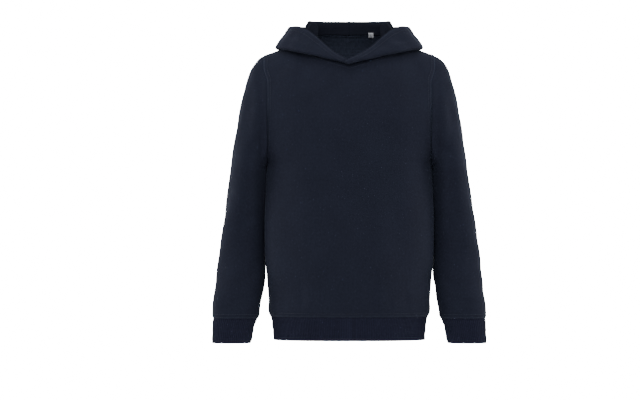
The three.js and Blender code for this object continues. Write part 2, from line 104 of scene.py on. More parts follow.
# The hood by the angle round the neck from the front: how far out from the neckline and how
# high its fold, the inside, the bottom and the outside of its pouch, and its rim are
hoodSections = {
    "angle": (0, 15, 34, 48, 62, 80, 100, 120, 130, 140, 160, 180),
    "roll": (0.8, 1.2, 1.8, 3, 3.6, 3.8, 4, 4.3, 4.5, 4.5, 4.5, 4.5),
    "foldOut": (1.6, 2.4, 3.4, -9, -19, -24.5, -20, -9, -2, 4, 8, 10),
    "fold": (410.2, 416, 423.6, 441, 459.5, 471, 475, 475.8, 475.8, 475.8, 475.8, 475.8),
    "innerOut": (3.1, 5.2, 8, 2, -3, -5, -3, 9, 21, 31, 42, 43),
    "inner": (410.6, 415.8, 422.6, 432, 444, 449, 450, 448, 441, 431, 398, 390),
    "bottomOut": (3.9, 7.4, 10.8, 13, 15.5, 21, 25.5, 31, 50, 64, 60, 58),
    "bottom": (411.3, 416.2, 423, 426.4, 430, 433, 433.5, 430, 403, 368, 310, 292),
    "outerOut": (4.2, 8.8, 12.8, 18, 23, 30, 34.5, 41, 58, 71, 70, 69),
    "outer": (412.8, 418.6, 426.6, 430.8, 434, 436, 436.5, 436, 424, 406, 366, 356),
    "rimOut": (2.5, 0.5, -6, -7, -6.5, 0, 13, 24, 32, 39, 48, 49),
    "rim": (416, 426.5, 443.5, 454.8, 462.5, 467.8, 468, 468.3, 469.5, 470, 469, 467),
}


# A cubic through the rows of a table, with each row's slope taken between its neighbours
def readTable(table, column, place, by="height"):
    xs = np.array(table[by], float)
    ys = np.array(table[column], float)
    slopes = np.empty_like(ys)
    slopes[1:-1] = (ys[2:] - ys[:-2]) / (xs[2:] - xs[:-2])
    slopes[0] = (ys[1] - ys[0]) / (xs[1] - xs[0])
    slopes[-1] = (ys[-1] - ys[-2]) / (xs[-1] - xs[-2])
    place = np.asarray(place, float)
    row = np.clip(np.searchsorted(xs, place, side="left") - 1, 0, len(xs) - 2)
    span = xs[row + 1] - xs[row]
    t = np.clip((place - xs[row]) / span, 0, 1)
    rise = ys[row + 1] - ys[row]
    bend = t * t * (3 - 2 * t)
    start = slopes[row] * span * t * (1 - t) ** 2
    end = slopes[row + 1] * span * t * t * (t - 1)
    return ys[row] + rise * bend + start + end


# From 0 to 1 between two values: three times the share squared less twice its cube
def smoothStep(x, low, high):
    t = np.clip((np.asarray(x, float) - low) / (high - low), 0, 1)
    return t * t * (3 - 2 * t)


# A straight shoulder seam that falls outwards, with a crown on top between the neck points
def shoulderHeight(side, x):
    out = np.abs(x)
    tip = np.maximum(out, cut["neckHalf"])
    seam = cut["shoulderTipHeight"] + (cut["shoulderTipHalf"] - tip) * cut["shoulderSlope"]
    share = np.minimum(out / cut["neckHalf"], 1)
    if side < 0:
        return seam + cut["neckCrown"] * (1 - share ** 2) ** cut["neckCrownFront"]
    return seam + cut["neckCrown"] * (1 - share ** cut["neckCrownBack"])


# A rounded box: reach times the root of one less the share across, to the power boxy
def bodyReach(side, x, height):
    reach = readTable(bodySections, "front" if side < 0 else "back", height)
    above = np.maximum(np.asarray(height, float) - cut["armpitHeight"], 0)
    half = readTable(bodySections, "half", height)
    half = half + cut["armholeReach"] * (1 - np.exp(-above / cut["armholeRun"]))
    across = np.minimum(np.abs(x) / half, 1)
    return reach * np.sqrt(1 - across ** readTable(bodySections, "boxy", height))


# Above the chest the reach is scaled by a quarter of an ellipse, up to the shoulder seam
def bodyDepth(side, x, height):
    arch = (height - cut["chestHeight"]) / (shoulderHeight(side, x) - cut["chestHeight"])
    return bodyReach(side, x, height) * np.sqrt(np.maximum(0, 1 - np.maximum(0, arch) ** 2))


# The height at which the arch has a given depth, closed in on in steps
def bodyHeight(side, x, depth):
    rise = shoulderHeight(side, x) - cut["chestHeight"]
    height = cut["chestHeight"] + rise
    for closingIn in range(10):
        height = cut["chestHeight"] + rise * np.sqrt(1 - (depth / bodyReach(side, x, height)) ** 2)
    return height


# A point of the body: x, the depth towards its side, and the height
def bodyPoint(side, x, height):
    x, height = np.broadcast_arrays(np.asarray(x, float), np.asarray(height, float))
    return np.stack([x, side * bodyDepth(side, x, height), height], axis=-1)


# How far out the armhole lies: a smooth step at the shoulder's turn and one at the pit
def armholeAt(height):
    tip = smoothStep(height, *cut["shoulderTurn"])
    pit = 1 - smoothStep(height, cut["armpitHeight"], cut["armholePitTop"])
    half = cut["armholeHalf"] + (cut["shoulderTipHalf"] - cut["armholeHalf"]) * tip
    return half + cut["armholePitSpread"] * pit


# Heights up the armhole: half of one less the cosine of the share, so closer at both ends
def armholeHeight(share):
    rise = (1 - np.cos(np.pi * share)) / 2
    return cut["armpitHeight"] + (cut["shoulderTipHeight"] - cut["armpitHeight"]) * rise


# The neckline by angle: in front it rises to the shoulder with the root of one less the
# cosine, and behind its depth is the cosine to a power
def necklinePoint(angle):
    angle = np.asarray(angle, float)
    turn = np.radians(angle)
    x = cut["neckHalf"] * np.sin(turn)
    shoulder = shoulderHeight(-1, cut["neckHalf"])
    rise = np.sqrt(np.maximum(0, 1 - np.cos(np.minimum(turn, np.pi / 2))))
    front = bodyPoint(-1, x, cut["neckFrontHeight"] + (shoulder - cut["neckFrontHeight"]) * rise)
    depth = cut["neckBackReach"] * np.abs(np.minimum(np.cos(turn), 0)) ** cut["neckBackRound"]
    back = np.stack([x, depth, bodyHeight(1, x, depth)], axis=-1)
    return np.where((angle <= 90)[..., None], front, back)


# Steps from 0 to 1 that lie closer near both ends, for the small forms beside the seams
def edgeSteps(count, closeness):
    t = np.linspace(0, 1, count)
    eased = (1 - np.cos(np.pi * t)) / 2
    return t * (1 - closeness) + eased * closeness


# Directions straight out of the body: across its surface by up it, a small step each way
def bodyNormals(side, points, step=0.4):
    x, z = points[..., 0], points[..., 2]
    along = bodyPoint(side, x + step, z) - bodyPoint(side, x - step, z)
    upward = bodyPoint(side, x, z + step) - bodyPoint(side, x, z - step)
    return unit(-side * np.cross(along, upward))


# A body panel as a grid: columns from one side seam to the other, rows from hem to top
def panelGrid(side, columns=75, lowRows=84, highRows=66):
    neckShare = cut["neckHalf"] / cut["shoulderTipHalf"]
    neckColumns = int(columns * 0.55)
    t = np.linspace(0, 1, neckColumns)
    across = (t + np.sin(t * np.pi / 2)) / 2
    angles = np.degrees(np.arcsin(across))
    neckShares = neckShare * across
    spread = np.sin(np.linspace(0, 1, columns - neckColumns + 1)[1:] * np.pi / 2)
    shares = np.concatenate([neckShares, neckShare + (1 - neckShare) * spread])
    tops = shoulderHeight(side, shares * cut["shoulderTipHalf"])
    tops[:neckColumns] = necklinePoint(angles if side < 0 else 180 - angles)[:, 2]
    shares = np.concatenate([-shares[:0:-1], shares])
    tops = np.concatenate([tops[:0:-1], tops])
    low = cut["hemRibHeight"] - seamReach
    heights = low + (cut["armpitHeight"] - low) * edgeSteps(lowRows, 0.35)
    lowX = shares[:, None] * readTable(bodySections, "half", heights)[None, :]
    lowZ = np.broadcast_to(heights[None, :], lowX.shape)
    seamHeights = armholeHeight(np.linspace(0, 1, highRows)[1:])
    rise = (seamHeights - cut["armpitHeight"]) / (cut["shoulderTipHeight"] - cut["armpitHeight"])
    reachIn = smoothStep(rise, 0, 0.02) * seamReach
    highX = shares[:, None] * (armholeAt(seamHeights) + reachIn)[None, :]
    highZ = cut["armpitHeight"] + (tops[:, None] - cut["armpitHeight"]) * rise[None, :]
    points = bodyPoint(side, np.concatenate([lowX, highX], 1), np.concatenate([lowZ, highZ], 1))
    onSide = np.zeros(points.shape[:2], bool)
    onSide[[0, -1], :lowRows] = True
    onSide[:, -1] = np.abs(shares) >= neckShare - 1e-6
    points[onSide, 1] = -side * seamReach / 2
    return points, onSide


# A rounded ring by height and turn, from its outer side over the front: the cosine and sine
# of the turn, each to a power below 1, which makes it a little boxy
def ringPoint(sections, height, turn):
    inner = readTable(sections, "inner", height)
    outer = readTable(sections, "outer", height)
    across = np.sign(np.cos(turn)) * np.abs(np.cos(turn)) ** cut["ringRound"]
    forwards = np.sign(np.sin(turn)) * np.abs(np.sin(turn)) ** cut["ringRound"]
    x = (inner + outer) / 2 + (outer - inner) / 2 * across
    y = readTable(sections, "middle", height) - readTable(sections, "depth", height) * forwards
    return np.stack(np.broadcast_arrays(x, y, height), axis=-1)


# The armhole's edge by turn, from the shoulder down the front to the pit and up the back
def armholePoint(turn):
    share = 1 - np.where(turn <= np.pi, turn, 2 * np.pi - turn) / np.pi
    height = armholeHeight(share)
    front = bodyPoint(-1, armholeAt(height), height)
    back = bodyPoint(1, armholeAt(height), height)
    return np.where((turn <= np.pi)[..., None], front, back)


sleeveCap = {
    "leaveOut": 1.5, "leaveOutTop": 20.5, "leaveForwards": 6, "leaveDown": 4,
    "leaveDownTop": 2.5, "leaveDownFront": 8, "arriveUp": 5, "arriveUpTop": 126,
    "arriveLean": 0.14,
}


# The sleeve as a tube: rings up to the armpit, then cubic curves from there to the armhole
def sleeveGrid(turns=112, lowRows=96, capRows=60):
    turn = np.arange(turns) / turns * 2 * np.pi
    low = cut["cuffTopHeight"] - seamReach
    heights = low + (cut["sleeveTopRingHeight"] - low) * np.linspace(0, 1, lowRows) ** 1.12
    tube = ringPoint(sleeveSections, heights[None, :], turn[:, None])
    start = armholePoint(turn)
    end = ringPoint(sleeveSections, np.full(turns, float(cut["sleeveTopRingHeight"])), turn)
    top = (1 + np.cos(turn)) / 2
    front = np.sin(turn)
    leave = np.stack([
        sleeveCap["leaveOut"] + sleeveCap["leaveOutTop"] * top ** 0.8,
        -sleeveCap["leaveForwards"] * front,
        -sleeveCap["leaveDown"] - sleeveCap["leaveDownTop"] * top
        - sleeveCap["leaveDownFront"] * np.abs(front),
    ], axis=-1)
    arrive = sleeveCap["arriveUp"] + sleeveCap["arriveUpTop"] * top ** 1.5
    way = np.stack([-sleeveCap["arriveLean"] * top, top * 0, top * 0 + 1], axis=-1)
    second = start + leave
    third = end + way * arrive[:, None]
    t = (np.linspace(1, 0, capRows)[1:] ** 1.25)[None, :, None]
    cap = (start[:, None] * (1 - t) ** 3 + second[:, None] * 3 * t * (1 - t) ** 2
           + third[:, None] * 3 * t * t * (1 - t) + end[:, None] * t ** 3)
    return np.concatenate([tube, cap], axis=1)[::-1]


# Moves points that are nearer the body than the clearance straight away from its middle
def keepOffBody(points, clearance, onlyBehind):
    for side in (-1, 1):
        x, y, z = points[..., 0].copy(), points[..., 1].copy(), points[..., 2].copy()
        here = (y > 0) if side > 0 else (y <= 0) & ~onlyBehind
        low = here & (z <= cut["chestHeight"])
        surface = bodyDepth(side, x, np.minimum(z, cut["chestHeight"])) + clearance
        reach = bodyReach(side, x, z) + clearance
        rise = shoulderHeight(side, x) - cut["chestHeight"] + clearance
        up = z - cut["chestHeight"]
        share = np.hypot(y / reach, up / rise)
        high = here & (z > cut["chestHeight"]) & (share < 1)
        share = np.where(high, np.maximum(share, 1e-3), 1)
        points[..., 1] = np.where(low, side * np.maximum(np.abs(y), surface), y / share)
        points[..., 2] = np.where(high, cut["chestHeight"] + up / share, z)


# A smooth curve through knots, each stretch a cubic whose slopes allow for the knots' spacing
def curveThrough(knots, steps):
    before = 2 * knots[:, :1] - knots[:, 1:2]
    after = 2 * knots[:, -1:] - knots[:, -2:-1]
    k = np.concatenate([before, knots, after], axis=1)
    gaps = np.maximum(np.linalg.norm(np.diff(k, axis=1), axis=-1, keepdims=True), 1e-4) ** 0.5
    rows = []
    for i in range(1, k.shape[1] - 2):
        p0, p1, p2, p3 = k[:, i - 1], k[:, i], k[:, i + 1], k[:, i + 2]
        d0, d1, d2 = gaps[:, i - 1], gaps[:, i], gaps[:, i + 1]
        t1 = ((p1 - p0) / d0 - (p2 - p0) / (d0 + d1) + (p2 - p1) / d1) * d1
        t2 = ((p2 - p1) / d1 - (p3 - p1) / (d1 + d2) + (p3 - p2) / d2) * d1
        last = i == k.shape[1] - 3
        t = np.linspace(0, 1, steps + 1)[: steps + 1 if last else steps][None, :, None]
        c2 = (-3 * p1 + 3 * p2 - 2 * t1 - t2)[:, None]
        c3 = (2 * p1 - 2 * p2 + t1 + t2)[:, None]
        rows.append(p1[:, None] + t1[:, None] * t + c2 * t ** 2 + c3 * t ** 3)
    return np.concatenate(rows, axis=1)


hoodShape = {
    "columns": 121, "stepsPerKnot": 18, "foldDrop": 0.3, "foldDropMost": 1.4,
    "clearance": 2.2, "clearancePerKnot": 2.7, "foldKnot": 3,
    "lapAcross": 6, "lapForwards": 4.5, "lapToAngle": 30,
}


# Half of the hood: each column goes up from the neckline over the fold and through the pouch
def hoodGrid(lapped):
    shape = hoodShape
    angle = np.linspace(0, 180, shape["columns"])
    turn = np.radians(angle)
    seam = necklinePoint(angle)
    out = np.stack([np.sin(turn), -np.cos(turn), turn * 0], axis=-1)

    def place(outwards, height):
        return np.stack([seam[:, 0], seam[:, 1], height], axis=-1) + out * outwards[:, None]

    read = {name: readTable(hoodSections, name, angle, "angle") for name in hoodSections}
    stand = (read["fold"] - seam[:, 2]) * shape["foldDrop"]
    drop = np.clip(stand, 0, read["roll"] * shape["foldDropMost"])
    knots = [seam,
             place(read["foldOut"] - read["roll"], read["fold"] - drop),
             place(read["foldOut"], read["fold"]),
             place(read["foldOut"] + read["roll"], read["fold"] - drop)]
    for name in ("inner", "bottom", "outer", "rim"):
        knots.append(place(read[name + "Out"], read[name]))
    points = curveThrough(np.stack(knots, axis=1), shape["stepsPerKnot"])
    rows = points.shape[1]
    knot = np.broadcast_to(np.arange(rows) / shape["stepsPerKnot"], points.shape[:2])
    share = np.arange(rows) / (rows - 1)
    clearance = np.minimum(shape["clearance"], shape["clearancePerKnot"] * knot)
    keepOffBody(points, clearance, knot <= shape["foldKnot"])
    points[:, 0, 2] -= seamReach
    near = np.maximum(0, 1 - angle / shape["lapToAngle"])[:, None]
    if lapped:
        points[..., 1] -= shape["lapForwards"] * near * smoothStep(share, 0, 0.5)
        points[..., 0] -= shape["lapAcross"] * near * smoothStep(share, 0.35, 1)
    points[0, :, 0] -= seamReach / 2
    points[-1, :, 0] = -seamReach / 2
    return points


def unit(vectors):
    return vectors / np.maximum(np.linalg.norm(vectors, axis=-1, keepdims=True), 1e-9)


# Directions straight out of a grid: the cross product of its two ways
def gridNormals(points, around=False):
    if around:
        across = np.roll(points, -1, axis=0) - np.roll(points, 1, axis=0)
    else:
        across = np.gradient(points, axis=0)
    return unit(np.cross(across, np.gradient(points, axis=1)))


# A wall of cloth: the outer grid and the same grid moved in, joined by a round at free edges
def clothWall(points, thickness, around=False, normals=None, roundTop=False, roundBottom=False):
    if normals is None:
        normals = gridNormals(points, around)
    columns, rows = points.shape[:2]
    inner = points - normals * np.broadcast_to(thickness, (columns, rows))[..., None]

    def edge(row, nextRow, rounded):
        middle = (points[:, row] + inner[:, row]) / 2
        half = (points[:, row] - inner[:, row]) / 2
        way = points[:, row] - points[:, nextRow]
        way /= np.maximum(np.linalg.norm(way, axis=-1, keepdims=True), 1e-9)
        way *= np.linalg.norm(half, axis=-1, keepdims=True) * rounded
        angles = np.linspace(0, np.pi, edgeTurns + 2)[1:-1][None, :, None]
        return middle[:, None] + half[:, None] * np.cos(angles) + way[:, None] * np.sin(angles)

    top = edge(-1, -2, roundTop)
    bottom = edge(0, 1, roundBottom)[:, ::-1]
    loop = np.concatenate([points, top, inner[:, ::-1], bottom], axis=1)
    size = loop.shape[1]
    c = np.arange(columns if around else columns - 1)[:, None]
    r = np.arange(size)[None, :]
    there = (c + 1) % columns * size
    faces = np.stack([c * size + r, there + r, there + (r + 1) % size, c * size + (r + 1) % size],
                     axis=-1).reshape(-1, 4)
    outside = np.broadcast_to((r < rows - 1), (len(c), size)).reshape(-1)
    ends = []
    if not around:
        k = np.arange(rows - 1)
        inside = 2 * rows + edgeTurns - 1 - k
        for base, way in ((0, 1), ((columns - 1) * size, -1)):
            cap = (np.stack([k, k + 1, inside - 1, inside], axis=-1) + base)[:, ::way]
            faces = np.concatenate([faces, cap])
            outside = np.concatenate([outside, np.ones(len(cap), bool)])
            ends.append((np.arange(rows - 1, rows + edgeTurns + 1) + base)[::way])
            ends.append((np.arange(2 * rows + edgeTurns - 1, size + 1) % size + base)[::way])
    return loop.reshape(-1, 3), faces, ends, outside


# Puts a wall into a mesh, in metres below the hold point, with its cloth's own UV map
def toPiece(name, wall, uv, wearAndHighlight, materials, mirrored=False):
    flat, faces, ends, outside = wall
    flat = flat.copy()
    if mirrored:
        flat[:, 0] *= -1
    flat[:, 2] -= holdHeight

    def roundTheWall(values):
        edges = [np.repeat(values[:, i], edgeTurns, 1) for i in (slice(-1, None), slice(0, 1))]
        return np.concatenate([values, edges[0], values[:, ::-1], edges[1]], axis=1)

    loopUv = roundTheWall(uv).reshape(-1, 2) / 1000
    loopWearAndHighlight = roundTheWall(wearAndHighlight).reshape(-1)
    corners = faces[:, ::-1] if mirrored else faces
    polygons = corners.tolist() + [(end[::-1] if mirrored else end).tolist() for end in ends]
    mesh = bpy.data.meshes.new(name)
    mesh.from_pydata((flat / 1000).tolist(), [], polygons)
    mesh.update()
    mesh.polygons.foreach_set("use_smooth", np.ones(len(mesh.polygons), bool))
    slots = np.concatenate([np.where(outside, 0, 1), np.zeros(len(ends), int)]).astype(np.int32)
    mesh.polygons.foreach_set("material_index", slots)
    vertexOf = np.empty(len(mesh.loops), np.int32)
    mesh.loops.foreach_get("vertex_index", vertexOf)
    layer = mesh.uv_layers.new(name="cloth")
    layer.data.foreach_set("uv", loopUv[vertexOf].astype(np.float32).ravel())
    # The wear attribute: rub wear and a painted highlight along seams and edges, which pale the
    # colour
    attribute = mesh.attributes.new("wearAndHighlight", "FLOAT", "POINT")
    attribute.data.foreach_set("value", loopWearAndHighlight.astype(np.float32))
    for material in materials:
        mesh.materials.append(material)
    piece = bpy.data.objects.new(name, mesh)
    bpy.context.scene.collection.objects.link(piece)
    return piece


# Hides the part of model.glb that a piece of cloth stands for, and hangs the piece on the root
# body
def declare(piece, node):
    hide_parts(node)
    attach(piece, "root")


# Lengths along a grid: across its columns and up its rows, in mm
def gridWays(points):
    across = np.linalg.norm(np.diff(points, axis=0), axis=-1)
    across = np.concatenate([np.zeros((1, points.shape[1])), np.cumsum(across, axis=0)])
    up = np.linalg.norm(np.diff(points, axis=1), axis=-1)
    up = np.concatenate([np.zeros((len(points), 1)), np.cumsum(up, axis=1)], axis=1)
    return across, up


# How far each point of a grid is from the nearest point of a seam, in mm
def distanceTo(points, seam):
    flat = points.reshape(-1, 3).astype(np.float32)
    nearest = np.full(len(flat), 1e9, np.float32)
    for start in range(0, len(seam), 8):
        some = seam[start:start + 8].astype(np.float32)
        squares = ((flat[:, None] - some[None]) ** 2).sum(axis=-1)
        nearest = np.minimum(nearest, squares.min(axis=1))
    return np.sqrt(nearest).reshape(points.shape[:2])


# Creases as soft troughs: a Gaussian across each, with a low ridge along one side, that fades
# at both ends. Each is x and height from and to, bow sideways, width and depth, in mm.
def creaseField(x, z, creases):
    field = np.zeros(np.broadcast(x, z).shape)
    for x0, z0, x1, z1, bow, width, depth in creases:
        length = math.hypot(x1 - x0, z1 - z0)
        alongX, alongZ = (x1 - x0) / length, (z1 - z0) / length
        t = ((x - x0) * alongX + (z - z0) * alongZ) / length
        off = (x - x0) * -alongZ + (z - z0) * alongX - bow * 4 * t * (1 - t)
        fade = smoothStep(t, -0.15, 0.35) * (1 - smoothStep(t, 0.55, 1.15))
        trough = np.exp(-(off / width) ** 2)
        ridge = 0.5 * np.exp(-((off - 1.9 * width) / (1.3 * width)) ** 2)
        field += depth * fade * (ridge - trough)
    return field


# Slow waves of the cloth: a few sines in different directions
def slowWaves(x, z, size, height, phase):
    field = np.zeros(np.broadcast(x, z).shape)
    for angle, stretch, shift in ((0.3, 1.0, 0.0), (1.25, 0.71, 2.1), (2.2, 1.37, 4.4),
                                  (2.85, 0.54, 1.2)):
        way = (np.cos(angle + phase) * x + np.sin(angle + phase) * z) / (size * stretch)
        field += np.sin(2 * np.pi * way + shift + 3 * phase)
    return field * height / 2


# What all sewn edges share: the cloth dips into the seam, the seam allowance lifts a band
# beside it, and two rows of stitches draw shallow grooves
seamLook = {"dip": 0.8, "dipWidth": 1.3, "welt": 0.5, "weltWidth": 8.0, "rows": (1.8, 6.8),
            "groove": 0.2, "grooveWidth": 0.8, "wearAndHighlight": 0.35}


def seamField(distance, welt):
    look = seamLook
    field = -look["dip"] * np.exp(-(distance / look["dipWidth"]) ** 2)
    if welt:
        field += look["welt"] * (1 - smoothStep(distance, look["weltWidth"] - 1.2,
                                                look["weltWidth"] + 1.2))
        for row in look["rows"]:
            field -= look["groove"] * np.exp(-((distance - row) / look["grooveWidth"]) ** 2)
    return field


# A pale line beside a seam: rub wear and a painted highlight on the seam's edge
def seamWearAndHighlight(distance):
    return seamLook["wearAndHighlight"] * np.exp(-((distance - 1.4) / 1.1) ** 2)


# The line at a distance from the first point of each of a grid's lines, with its normals
def insetLine(points, normals, distance):
    steps = np.linalg.norm(np.diff(points, axis=1), axis=-1)
    ways = np.concatenate([np.zeros((len(points), 1)), np.cumsum(steps, axis=1)], axis=1)
    both = np.concatenate([points, normals], axis=-1)
    line = np.array([[np.interp(distance, way, row[:, k]) for k in range(6)]
                     for way, row in zip(ways, both)])
    return line[:, :3], unit(line[:, 3:])


# sRGB hex to linear
def colour(code):
    parts = [int(code[i:i + 2], 16) / 255 for i in (1, 3, 5)]
    return [p / 12.92 if p <= 0.04045 else ((p + 0.055) / 1.055) ** 2.4 for p in parts] + [1]


# Adds a node: in_NAME sets a socket's value, to_NAME links one, others set the node
def addNode(tree, kind, settings=None, **links):
    node = tree.nodes.new(kind)
    for name, value in (settings or {}).items():
        if name.startswith("in_"):
            key = name[3:]
            node.inputs[int(key) if key.isdigit() else key].default_value = value
        else:
            setattr(node, name, value)
    for name, socket in links.items():
        key = name[3:]
        tree.links.new(socket, node.inputs[int(key) if key.isdigit() else key])
    return node


sheenTint = "#7f8aa8"  # the blue-grey of light in the nap


def newMaterial(name, roughness, specular, sheen):
    material = bpy.data.materials.new(name)
    material.use_nodes = True
    shader = material.node_tree.nodes["Principled BSDF"]
    shader.inputs["Roughness"].default_value = roughness
    shader.inputs["Specular IOR Level"].default_value = specular
    shader.inputs["Sheen Weight"].default_value = sheen
    shader.inputs["Sheen Roughness"].default_value = 0.4
    shader.inputs["Sheen Tint"].default_value = colour(sheenTint)
    return material, shader


# A knitted cloth: flecks of its nap and slow patches between two tones, paler where seams rub
# and where a painted highlight lies along seams and edges, over a bump of knit columns, courses
# and nap. The knit is drawn coarser than the real one.
def knittedCloth(name, look):
    material, shader = newMaterial(name, look["roughness"], look["specular"], look["sheen"])
    tree = material.node_tree
    uv = addNode(tree, "ShaderNodeUVMap", {"uv_map": "cloth"}).outputs["UV"]
    patches = addNode(tree, "ShaderNodeTexNoise", {"in_Scale": 1000 / look["patchSize"],
                                                   "in_Detail": 3.0}, to_Vector=uv)
    nap = addNode(tree, "ShaderNodeTexNoise", {"in_Scale": 1000 / look["napSize"],
                                               "in_Detail": 4.0, "in_Roughness": 0.7},
                  to_Vector=uv)
    # Reads the rub wear and painted highlight along seams and edges
    wornAndLit = addNode(tree, "ShaderNodeAttribute", {"attribute_name": "wearAndHighlight"})
    mottle = addNode(tree, "ShaderNodeMath", {"operation": "MULTIPLY_ADD", "in_1": 0.2,
                                              "in_2": -0.07}, to_0=patches.outputs["Fac"])
    flecks = addNode(tree, "ShaderNodeMath", {"operation": "MULTIPLY_ADD", "in_1": 0.35},
                     to_0=nap.outputs["Fac"], to_2=mottle.outputs[0])
    share = addNode(tree, "ShaderNodeMath", {"operation": "ADD", "use_clamp": True},
                    to_0=flecks.outputs[0], to_1=wornAndLit.outputs["Fac"])
    mix = addNode(tree, "ShaderNodeMix", {"data_type": "RGBA"}, to_0=share.outputs[0])
    mix.inputs[6].default_value = colour(look["dark"])
    mix.inputs[7].default_value = colour(look["pale"])
    tree.links.new(mix.outputs[2], shader.inputs["Base Color"])
    waveBand = 1000 / math.pi  # about how many mm apart a wave's bands are at scale 1
    wales = addNode(tree, "ShaderNodeTexWave", {"in_Scale": waveBand / look["wale"],
                                                "in_Distortion": 0.6}, to_Vector=uv)
    courses = addNode(tree, "ShaderNodeTexWave", {"bands_direction": "Y", "in_Distortion": 0.8,
                                                  "in_Scale": waveBand / look["course"]},
                      to_Vector=uv)
    knit = addNode(tree, "ShaderNodeMath", {"operation": "ADD"}, to_0=wales.outputs["Fac"],
                   to_1=courses.outputs["Fac"])
    height = addNode(tree, "ShaderNodeMath", {"operation": "MULTIPLY_ADD",
                                              "in_1": look["napHeight"]},
                     to_0=nap.outputs["Fac"], to_2=knit.outputs[0])
    bump = addNode(tree, "ShaderNodeBump", {"in_Strength": 0.5,
                                            "in_Distance": look["bump"] / 1000},
                   to_Height=height.outputs[0])
    tree.links.new(bump.outputs[0], shader.inputs["Normal"])
    return material


# Brushed cotton jersey: dull, soft, with a short nap that catches light at its edges
brushedJersey = knittedCloth("brushedCottonJersey", {
    "dark": "#10111a", "pale": "#222735", "roughness": 0.9, "specular": 0.06, "sheen": 0.1,
    "patchSize": 45, "napSize": 3.5, "napHeight": 2.0, "wale": 2.4, "course": 2.0, "bump": 0.22})
# The looped back of the same cloth, seen inside the neck: rougher, with coarser loops, and painted
# several times paler as painted light standing in for the light that reaches the shaded inside of
# the body
loopedJerseyPaintedLight = knittedCloth("loopedCottonInsidePaintedLight", {
    "dark": "#262a37", "pale": "#4b5265", "roughness": 0.95, "specular": 0.04, "sheen": 0.08,
    "patchSize": 40, "napSize": 4.5, "napHeight": 3.0, "wale": 3.0, "course": 2.6, "bump": 0.45})
# The hood's inner face is brushed and lies in the open, so it is as dark as the outside
hoodInside = knittedCloth("brushedCottonHoodInside", {
    "dark": "#0b0c12", "pale": "#1b1e29", "roughness": 0.95, "specular": 0.03, "sheen": 0.04,
    "patchSize": 40, "napSize": 4.0, "napHeight": 2.5, "wale": 2.8, "course": 2.4, "bump": 0.35})
# Cotton rib with some elastane: a tighter knit with a faintly bluer, smoother face
ribKnit = knittedCloth("cottonRibKnit", {
    "dark": "#0d0e18", "pale": "#212335", "roughness": 0.88, "specular": 0.06, "sheen": 0.12,
    "patchSize": 60, "napSize": 3.0, "napHeight": 1.4, "wale": 1.6, "course": 1.8, "bump": 0.15})
# Woven polyester tape: near white, smooth and slightly shiny
wovenLabel = knittedCloth("wovenPolyesterLabel", {
    "dark": "#d9dde4", "pale": "#f2f3f6", "roughness": 0.55, "specular": 0.3, "sheen": 0.0,
    "patchSize": 12, "napSize": 1.5, "napHeight": 0.5, "wale": 0.8, "course": 0.6, "bump": 0.08})
# Spun polyester sewing thread, a little paler and smoother than the cloth, so that rows show
sewingThread, threadShader = newMaterial("spunPolyesterThread", 0.6, 0.2, 0.05)
threadShader.inputs["Base Color"].default_value = colour("#161b28")
print("materials made")

stitchPaths = {}


# Keeps a path for stitches: its points and normals, for the named piece of sewing
def sewAlong(name, points, normals, mirrored=False):
    turned = np.array([-1, 1, 1]) if mirrored else 1
    stitchPaths.setdefault(name, []).append((points * turned, normals * turned))


# The front and back panels. Creases run as they do in the photo, smooth over the chest, with
# short drags below the neck and gathers where the hem band draws the cloth in.
frontLook = {
    "thickness": 2.0, "waves": 0.7, "waveSize": 95, "wavePhase": 0.4, "fade": 24,
    "flat": (0.34, 0.42), "area": 0.125,
    "creases": [
        (-27, 411, -58, 384, 3, 4.0, 1.0), (34, 411, 56, 381, -3, 3.6, 0.9),
        (-14, 404, -30, 390, 2, 3.0, 0.5), (-86, 420, -119, 394, 3, 7.0, 0.9),
        (92, 417, 121, 389, -2, 6.0, 0.8), (-119, 300, -84, 318, 3, 8.0, 0.7),
        (118, 292, 90, 314, -4, 7.0, 0.6), (-78, 352, -85, 232, 5, 15.0, 0.9),
        (68, 262, 80, 118, -6, 16.0, 1.0), (-57, 158, -62, 88, 2, 9.0, 0.7),
        (14, 320, 22, 200, 4, 20.0, 0.6), (-121, 96, -86, 70, -3, 6.0, 1.4),
        (119, 100, 87, 74, 3, 6.5, 1.3), (-72, 90, -71, 38, 1, 5.5, 1.0),
        (-38, 82, -37, 38, -1, 5.0, 0.9), (-97, 72, -96, 38, 0, 4.0, 0.7),
        (-54, 62, -54, 38, 0, 3.2, 0.5), (-13, 66, -12, 38, 0, 4.0, 0.5),
        (13, 78, 12, 38, 1, 4.5, 0.7), (39, 88, 38, 38, -1, 5.5, 1.0),
        (61, 64, 61, 38, 0, 3.6, 0.6), (83, 80, 84, 38, 1, 4.6, 0.8),
        (102, 62, 102, 38, 0, 3.4, 0.6),
    ],
}
backLook = {
    "thickness": 2.0, "waves": 0.8, "waveSize": 95, "wavePhase": 1.3, "fade": 24,
    "flat": (0.34, 0.45), "area": 0.13,
    "creases": [
        (-84, 400, -112, 330, 5, 9.0, 1.0), (88, 398, 114, 338, -4, 8.0, 0.9),
        (-119, 306, -80, 280, 4, 8.0, 1.1), (118, 298, 82, 268, -5, 9.0, 1.2),
        (-40, 262, -52, 140, 6, 15.0, 1.1), (34, 246, 48, 122, -5, 13.0, 1.0),
        (2, 210, -4, 96, 4, 11.0, 0.7), (-120, 110, -84, 80, -3, 7.0, 1.4),
        (120, 104, 90, 70, 3, 6.5, 1.3), (-90, 78, -90, 38, 0, 4.5, 0.9),
        (-63, 92, -62, 38, 1, 5.5, 1.0), (-40, 66, -40, 38, 0, 3.6, 0.6),
        (-18, 84, -17, 38, -1, 5.0, 0.9), (7, 60, 7, 38, 0, 3.4, 0.5),
        (28, 90, 27, 38, 1, 5.6, 1.0), (54, 70, 54, 38, 0, 4.2, 0.7),
        (76, 84, 77, 38, 0, 4.8, 0.9), (100, 64, 100, 38, 0, 3.6, 0.6),
    ],
}


